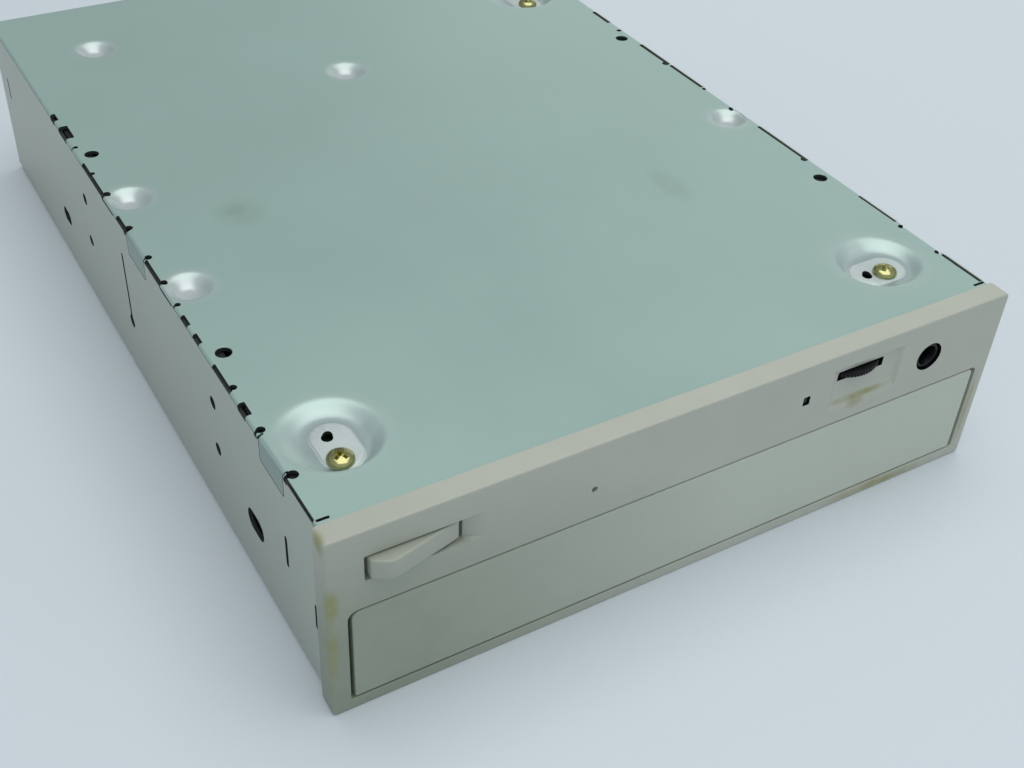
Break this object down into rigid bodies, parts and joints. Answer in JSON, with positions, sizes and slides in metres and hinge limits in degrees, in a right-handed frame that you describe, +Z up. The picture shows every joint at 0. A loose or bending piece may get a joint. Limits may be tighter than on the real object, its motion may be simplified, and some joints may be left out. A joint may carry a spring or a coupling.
{
  "type": "internal optical disc drive",
  "caption": "Half-height internal disc drive with a sliding tray, front controls, sheet-metal case, loading train, tilting disc mechanism and rear connectors.",
  "frame": {"origin": "bottom centre of the overall box at rest, under the drive as pictured, with its underside up", "axes": "+Z up as pictured, towards the drive's own underside; +Y from the bezel to the rear connectors; +X to the right seen from the front. Turn 180 degrees about +Y for the usual installed pose"},
  "size_m": [0.148, 0.2106, 0.042],
  "materials": {
    "zinc_plate": "zinc-plated sheet, flat aqua-grey, faintly mottled",
    "zinc_side": "zinc-plated sheet, neutral grey",
    "beige_plastic": "fine-grained beige ABS, yellowed in places",
    "door_plastic": "fine-grained beige ABS",
    "gold_zinc": "yellow-passivated zinc",
    "light_window": "dark light pipe",
    "black_plastic": "moulded black plastic",
    "grey_plastic": "moulded grey plastic",
    "tray_plastic": "moulded dark grey plastic",
    "white_plastic": "natural acetal",
    "steel": "plated steel",
    "rubber": "black rubber",
    "board_green": "solder-masked circuit board",
    "lens_glass": "coated lens",
    "ribbon_white": "flat flexible cable"
  },
  "bodies": {
    "case": {"top_cover": "zinc_side", "underside_plate": "zinc_plate", "plate_screw_front_left": "gold_zinc", "plate_screw_front_right": "gold_zinc", "plate_screw_rear_right": "gold_zinc", "front_bezel": "beige_plastic", "activity_light": "light_window", "volume_pot": "black_plastic", "headphone_jack": "black_plastic", "eject_switch": "black_plastic", "main_frame": "grey_plastic", "clamp_bridge": "steel", "loading_motor": "steel", "drive_belt": "rubber", "main_board": "board_green", "front_board": "board_green", "data_connector": "black_plastic", "power_connector": "white_plastic", "audio_connector": "white_plastic", "jumper_block": "black_plastic", "board_ribbon": "ribbon_white"},
    "tray": {"disc_tray": "tray_plastic", "tray_door": "door_plastic"},
    "button": {"eject_button": "beige_plastic"},
    "wheel": {"volume_wheel": "black_plastic"},
    "clamp": {"clamp_puck": "black_plastic"},
    "drive_gear": {"tray_gear": "white_plastic"},
    "pulley": {"pulley_gear": "white_plastic"},
    "small_pulley": {"motor_pulley": "white_plastic"},
    "cam": {"cam_slider": "white_plastic"},
    "lift": {"lift_frame": "black_plastic", "traverse_plate": "steel", "damper_1": "rubber", "damper_2": "rubber", "damper_3": "rubber", "damper_4": "rubber", "spindle_motor": "steel", "guide_rod_left": "steel", "guide_rod_right": "steel", "sled_motor": "steel"},
    "table": {"turntable": "white_plastic"},
    "sled": {"pickup_sled": "black_plastic"},
    "focus": {"lens_holder": "black_plastic", "lens": "lens_glass"},
    "sled_wheel": {"sled_gear": "white_plastic"},
    "sled_pinion": {"sled_motor_gear": "white_plastic"}
  },
  "joints": [
    {"name": "tray_slide", "type": "slide", "parent": "case", "child": "tray", "axis": [0, -1, 0], "range_m": [0, 0.138]},
    {"name": "tray_gear_turn", "type": "hinge", "parent": "case", "child": "drive_gear", "pos_m": [0.041, -0.07475, 0.0186], "axis": [0, 0, 1], "range_deg": [-791, 0]},
    {"name": "pulley_turn", "type": "hinge", "parent": "case", "child": "pulley", "pos_m": [0.02709, -0.07848, 0.0234], "axis": [0, 0, 1], "range_deg": [0, 2373]},
    {"name": "motor_turn", "type": "hinge", "parent": "case", "child": "small_pulley", "pos_m": [0.003, -0.07875, 0.0249], "axis": [0, 0, 1], "range_deg": [0, 8202]},
    {"name": "eject_press", "type": "slide", "parent": "case", "child": "button", "axis": [0, 1, 0], "range_m": [0, 0.0015], "stiffness_N_per_m": 300},
    {"name": "volume_turn", "type": "hinge", "parent": "case", "child": "wheel", "pos_m": [0.0369, -0.09495, 0.036], "axis": [0, 0, 1], "range_deg": [-135, 135]},
    {"name": "clamp_spin", "type": "hinge", "parent": "case", "child": "clamp", "pos_m": [0, -0.02775, 0.0045], "axis": [0, 0, 1], "continuous": true},
    {"name": "cam_slide", "type": "slide", "parent": "case", "child": "cam", "axis": [-1, 0, 0], "range_m": [0, 0.02]},
    {"name": "lift_tilt", "type": "hinge", "parent": "case", "child": "lift", "pos_m": [0, 0.07225, 0.02275], "axis": [-1, 0, 0], "range_deg": [0, 3]},
    {"name": "disc_spin", "type": "hinge", "parent": "lift", "child": "table", "pos_m": [0, -0.02775, 0.0085], "axis": [0, 0, 1], "continuous": true},
    {"name": "sled_slide", "type": "slide", "parent": "lift", "child": "sled", "axis": [0, 1, 0], "range_m": [0, 0.034]},
    {"name": "sled_gear_turn", "type": "hinge", "parent": "lift", "child": "sled_wheel", "pos_m": [0.03652, 0.01225, 0.02125], "axis": [0, 0, 1], "range_deg": [-271, 0]},
    {"name": "sled_motor_turn", "type": "hinge", "parent": "lift", "child": "sled_pinion", "pos_m": [0.03652, 0.02245, 0.02125], "axis": [0, 0, 1], "range_deg": [0, 650]},
    {"name": "lens_focus", "type": "slide", "parent": "sled", "child": "focus", "axis": [0, 0, -1], "range_m": [-0.0004, 0.0004], "stiffness_N_per_m": 200}
  ],
  "couplings": [
    {"joint": "tray_gear_turn", "follows": "tray_slide", "rad_per_m": -100},
    {"joint": "pulley_turn", "follows": "tray_slide", "rad_per_m": 300},
    {"joint": "motor_turn", "follows": "tray_slide", "rad_per_m": 1037.1},
    {"joint": "lift_tilt", "follows": "cam_slide", "rad_per_m": 2.618},
    {"joint": "clamp_spin", "follows": "disc_spin", "ratio": 1},
    {"joint": "sled_gear_turn", "follows": "sled_slide", "rad_per_m": -138.89},
    {"joint": "sled_motor_turn", "follows": "sled_slide", "rad_per_m": 333.33}
  ]
}
